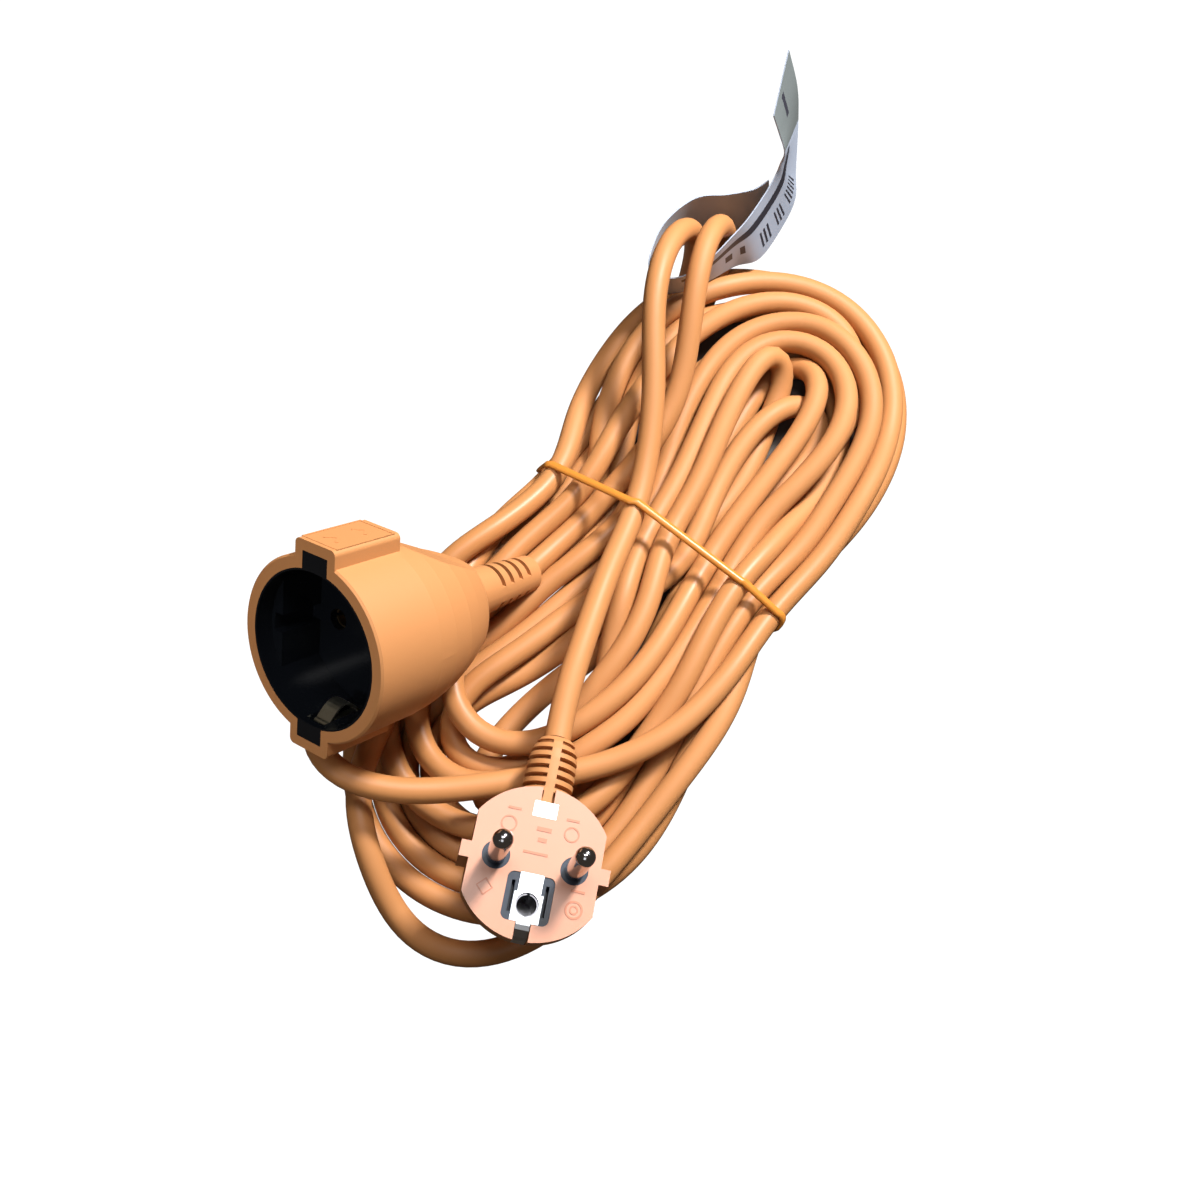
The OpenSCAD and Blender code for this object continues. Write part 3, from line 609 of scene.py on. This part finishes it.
def marks_object(name, place, turn):
    points, faces = [], []
    put = lambda p: at(place, turn(*p))

    def prism(outline, inner=None):
        n, k = len(outline), len(points)
        if inner is None:
            points.extend(put((*p, MARK_BASE)) for p in outline)
            points.extend(put((*p, MARK_TOP)) for p in outline)
            faces.append([k + n + i for i in range(n)])
            faces.extend((k + i, k + (i + 1) % n, k + n + (i + 1) % n, k + n + i) for i in range(n))
        else:
            for z in (MARK_BASE, MARK_TOP):
                points.extend(put((*p, z)) for p in outline)
                points.extend(put((*p, z)) for p in inner)
            for i in range(n):
                j = (i + 1) % n
                faces.append((k + 2 * n + i, k + 2 * n + j, k + 3 * n + j, k + 3 * n + i))
                faces.append((k + i, k + j, k + 2 * n + j, k + 2 * n + i))
                faces.append((k + n + j, k + n + i, k + 3 * n + i, k + 3 * n + j))

    def ring(x, y, r, w, n=40):
        ways = [2 * math.pi * i / n for i in range(n)]
        circle = lambda q: [(x + q * math.cos(t), y + q * math.sin(t)) for t in ways]
        prism(circle(r), circle(r - w))

    def bar(x, y, w, h):
        prism([(x - w / 2, y - h / 2), (x + w / 2, y - h / 2), (x + w / 2, y + h / 2),
            (x - w / 2, y + h / 2)])

    if name == "lug_marks":
        box = lambda x, y, e=0.0: [(-x + e, -y + e), (x - e, -y + e), (x - e, y - e), (-x + e, y - e)]
        prism(box(5.9, 9.3), box(5.9, 9.3, 0.5))
        for y in (-4.5, 4.5):
            prism([(-2.6, y + 1.2), (0, y - 1.8), (2.6, y + 1.2), (1.9, y + 1.7), (0, y - 0.6),
                (-1.9, y + 1.7)])
        return mesh_object(name, points, faces, ("moulding",), smooth=False)
    for shape in PLUG_RINGS:
        ring(*shape)
    for shape in PLUG_BARS:
        bar(*shape)
    return mesh_object(name, points, faces, ("marks",), smooth=False)


marks = marks_object("plug_marks", PLUG, lambda x, y, z: (x, y, z))
lug = marks_object("lug_marks", COUPLER, lambda x, y, z: (x, LUG_TOP + z, y - LUG_MID))
for obj in (marks, lug):
    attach(obj, "cord")

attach(cord, "cord")
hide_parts("cord_hank", "cord_coupler_lead", "cord_plug_lead", "cord_raised_turn", "cord_loose_turn")

# ---------------------------------------------------------------- what each piece wears

FACE_COS = 0.97  # faces this close to the plug's own axis are its polished face; besides its real gloss it gets a paler colour than the body, a painted sheen
WEARS = {
    "moulding": ("coupler_body", "coupler_strain_relief", "plug_body", "plug_strain_relief"),
    "insert": ("coupler_insert", "coupler_rear_cover", "plug_crimp_cover"),
    "carrier": ("plug_pin_carrier",),
    "pin": ("plug_pin_left", "plug_pin_right"),
    "sleeve": ("plug_earth_sleeve",),
    "strip": ("plug_earth_strip", "coupler_earth_bridge"),
    "spring": ("coupler_earth_spring_upper", "coupler_earth_spring_lower"),
    "brass": ("coupler_contact_left", "coupler_contact_right"),
    "brown": ("coupler_core_live", "plug_core_live"),
    "blue": ("coupler_core_neutral", "plug_core_neutral"),
    "green": ("coupler_core_earth", "plug_core_earth"),
}


def wear(obj, mat):
    obj.data.materials.clear()
    obj.data.materials.append(mats[mat])


wear(cord, "sheath")
for mat, names in WEARS.items():
    for name in names:
        wear(nodes[name], mat)
body = nodes["plug_body"]
body.data.materials.append(mats["face"])
axis = Vector(PLUG[1][:, 2])
for f in body.data.polygons:
    if (body.matrix_world.to_3x3() @ f.normal).normalized().dot(axis) > FACE_COS:
        f.material_index = 1

# ---------------------------------------------------------------- floor and light

FLOOR_SIZE = 8
SHADE_HEIGHT = 0.00005

bpy.ops.mesh.primitive_plane_add(size=FLOOR_SIZE, location=(0, 0, 0))
floor = bpy.context.object
floor.name = "floor"
fm = bpy.data.materials.new("floor")
fm.use_nodes = True
shader = fm.node_tree.nodes["Principled BSDF"]
shader.inputs["Base Color"].default_value = (0, 0, 0, 1)
shader.inputs["Specular IOR Level"].default_value = 0.0
shader.inputs["Roughness"].default_value = 1.0
shader.inputs["Emission Color"].default_value = (1, 1, 1, 1)
shader.inputs["Emission Strength"].default_value = 1.1
floor.data.materials.append(fm)
floor.visible_diffuse = False
floor.visible_glossy = False
floor.visible_transmission = False
floor.visible_shadow = False

# shade: the colour of the painted shadow patches laid on the floor below
shade = bpy.data.materials.new("shade")
shade.use_nodes = True
shade.node_tree.nodes["Principled BSDF"].inputs["Base Color"].default_value = (0.10, 0.085, 0.075, 1)
shade.node_tree.nodes["Principled BSDF"].inputs["Specular IOR Level"].default_value = 0.0
# Painted shadow: flat dark shapes on the floor under the hank, in mm, put where the shade between its strands
# falls, as the floor itself takes no shadow.
under = [
    [(-35, 78), (-29, 98), (-12, 108), (10, 103), (26, 90), (36, 63), (38, 28), (39, 2), (45, -28),
    (47, -54), (41, -65),
        (24, -61), (12, -50), (12, -28), (-2, -22), (-13, 2), (-30, 30), (-39, 52)],
    [(-23, -84), (-7, -84), (7, -79), (22, -80), (26, -94), (12, -97), (-6, -97), (-19, -93)],
]
for k, outline in enumerate(under):
    data = bpy.data.meshes.new(f"floor_shade_{k}")
    corners = [(x / MM_PER_M, y / MM_PER_M, SHADE_HEIGHT) for x, y in outline]
    data.from_pydata(corners, [], [list(range(len(outline)))[::-1]])
    data.materials.append(shade)
    patch = bpy.data.objects.new(f"floor_shade_{k}", data)
    bpy.context.scene.collection.objects.link(patch)

world = bpy.data.worlds.new("world")
bpy.context.scene.world = world
world.use_nodes = True
world.node_tree.nodes["Background"].inputs["Color"].default_value = (1.0, 0.80, 0.62, 1)
world.node_tree.nodes["Background"].inputs["Strength"].default_value = 0.07


def area(name, loc, target, size, power):
    data = bpy.data.lights.new(name, "AREA")
    data.size = size
    data.energy = power
    o = bpy.data.objects.new(name, data)
    o.location = loc
    o.rotation_euler = Vector([t - l for t, l in zip(target, loc)]).to_track_quat("-Z", "Y").to_euler()
    bpy.context.scene.collection.objects.link(o)


area("key", (0.06, 0.44, 0.56), (0, 0, 0), 0.12, 11.0)
area("overhead", (-0.10, 0.10, 1.2), (0, 0, 0), 0.3, 4.6)
area("softbox", (0.154, 0.345, 1.24), (0, -0.08, 0.04), 0.3, 4.2)
lamp = bpy.data.lights.new("rim", "SPOT")
lamp.energy = 22
lamp.spot_size = math.radians(4.6)
lamp.spot_blend = 0.8
lamp.shadow_soft_size = 0.04
rim = bpy.data.objects.new("rim", lamp)
rim.location = (-0.18, -0.84, 0.75)
rim.rotation_euler = (Vector((-0.038, -0.078, 0.064)) - rim.location).to_track_quat("-Z", "Y").to_euler()
bpy.context.scene.collection.objects.link(rim)
area("fill", (0.25, -0.5, 0.9), (0, -0.05, 0.04), 0.4, 0.8)

bpy.context.scene.view_settings.view_transform = "Standard"

bpy.context.view_layer.update()
